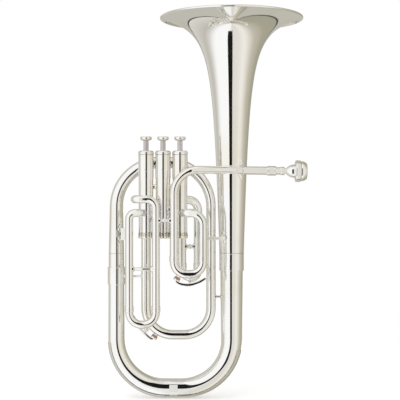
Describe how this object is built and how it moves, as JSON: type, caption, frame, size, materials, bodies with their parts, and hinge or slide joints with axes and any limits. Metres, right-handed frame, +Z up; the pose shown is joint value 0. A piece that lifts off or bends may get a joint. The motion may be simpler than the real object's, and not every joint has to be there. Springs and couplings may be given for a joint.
{
  "type": "alto horn",
  "caption": "Upright piston-valved alto horn in silver plate: flared bell, bows, tuning slides that pull, sprung valves, removable mouthpiece, lyre holder and water keys",
  "frame": {"origin": "lowest point of the guard under the bottom bow, midway between the bell and the left branch", "axes": "+Z up, out of the bell; +X from the left branch to the bell and the mouthpiece; -Y the front, where the leadpipe and the long slides are"},
  "size_m": [0.2816, 0.205, 0.545],
  "materials": {
    "silver_plate": "polished silver plate",
    "spring_steel": "drawn wire",
    "cork": "sanded cork"
  },
  "bodies": {
    "horn": {"bell": "silver_plate", "bell_ferrule": "silver_plate", "bottom_bow": "silver_plate", "bow_guard": "silver_plate", "left_branch": "silver_plate", "left_branch_ferrule": "silver_plate", "upper_bow": "silver_plate", "inner_bow": "silver_plate", "exit_tube": "silver_plate", "valve_casing_1": "silver_plate", "valve_casing_2": "silver_plate", "valve_casing_3": "silver_plate", "knuckle_1_2": "silver_plate", "knuckle_2_3": "silver_plate", "casing_stay_1_2": "silver_plate", "casing_stay_2_3": "silver_plate", "top_cap_1": "silver_plate", "top_cap_2": "silver_plate", "top_cap_3": "silver_plate", "bottom_cap_1": "silver_plate", "bottom_cap_2": "silver_plate", "bottom_cap_3": "silver_plate", "leadpipe": "silver_plate", "mouthpiece_receiver": "silver_plate", "main_slide_tube": "silver_plate", "third_slide_tube_left": "silver_plate", "third_slide_tube_right": "silver_plate", "first_slide_tube_left": "silver_plate", "first_slide_tube_right": "silver_plate", "second_slide_tube_low": "silver_plate", "second_slide_tube_high": "silver_plate", "exit_stay": "silver_plate", "bow_stay": "silver_plate", "third_slide_stay": "silver_plate", "leadpipe_stay": "silver_plate", "first_slide_stay": "silver_plate", "bell_stay": "silver_plate", "leadpipe_post": "silver_plate", "lyre_holder": "silver_plate", "valve_spring_1": "spring_steel", "valve_spring_2": "spring_steel", "valve_spring_3": "spring_steel"},
    "piston_1_body": {"piston_1": "silver_plate", "finger_button_1": "silver_plate"},
    "piston_2_body": {"piston_2": "silver_plate", "finger_button_2": "silver_plate"},
    "piston_3_body": {"piston_3": "silver_plate", "finger_button_3": "silver_plate"},
    "main_slide_body": {"main_slide": "silver_plate"},
    "third_slide_body": {"third_slide": "silver_plate"},
    "first_slide_body": {"first_slide": "silver_plate"},
    "second_slide_body": {"second_slide": "silver_plate"},
    "mouthpiece_body": {"mouthpiece": "silver_plate"},
    "lyre_screw_body": {"lyre_screw": "silver_plate"},
    "water_key_1_body": {"water_key_1": "silver_plate", "cork_1": "cork"},
    "water_key_2_body": {"water_key_2": "silver_plate", "cork_2": "cork"}
  },
  "joints": [
    {"name": "valve_1", "type": "slide", "parent": "horn", "child": "piston_1_body", "axis": [0, 0, -1], "range_m": [0, 0.013], "stiffness_N_per_m": 150, "springref_m": -0.025, "deforming": ["valve_spring_1"]},
    {"name": "valve_2", "type": "slide", "parent": "horn", "child": "piston_2_body", "axis": [0, 0, -1], "range_m": [0, 0.013], "stiffness_N_per_m": 150, "springref_m": -0.025, "deforming": ["valve_spring_2"]},
    {"name": "valve_3", "type": "slide", "parent": "horn", "child": "piston_3_body", "axis": [0, 0, -1], "range_m": [0, 0.013], "stiffness_N_per_m": 150, "springref_m": -0.025, "deforming": ["valve_spring_3"]},
    {"name": "main_slide_pull", "type": "slide", "parent": "horn", "child": "main_slide_body", "axis": [0, 0, -1], "range_m": [0, 0.03]},
    {"name": "third_slide_pull", "type": "slide", "parent": "horn", "child": "third_slide_body", "axis": [0, 0, -1], "range_m": [0, 0.045]},
    {"name": "first_slide_pull", "type": "slide", "parent": "horn", "child": "first_slide_body", "axis": [0, 0, -1], "range_m": [0, 0.024]},
    {"name": "second_slide_pull", "type": "slide", "parent": "horn", "child": "second_slide_body", "axis": [0, 1, 0], "range_m": [0, 0.01]},
    {"name": "mouthpiece_pull", "type": "slide", "parent": "horn", "child": "mouthpiece_body", "axis": [0.9999, 0, -0.014], "range_m": [0, 0.02]},
    {"name": "lyre_screw_turn", "type": "hinge", "parent": "horn", "child": "lyre_screw_body", "pos_m": [-0.075, -0.019, 0.2354], "axis": [-1, 0, 0], "range_deg": [0, 360]},
    {"name": "water_key_1_hinge", "type": "hinge", "parent": "main_slide_body", "child": "water_key_1_body", "pos_m": [0.02255, -0.039, 0.1706], "axis": [0, -1, 0], "range_deg": [0, 12], "stiffness_Nm_per_rad": 0.05, "springref_deg": -28.65},
    {"name": "water_key_2_hinge", "type": "hinge", "parent": "horn", "child": "water_key_2_body", "pos_m": [-0.0385, 0, 0.09727], "axis": [0, 1, 0], "range_deg": [0, 12], "stiffness_Nm_per_rad": 0.05, "springref_deg": -28.65}
  ]
}
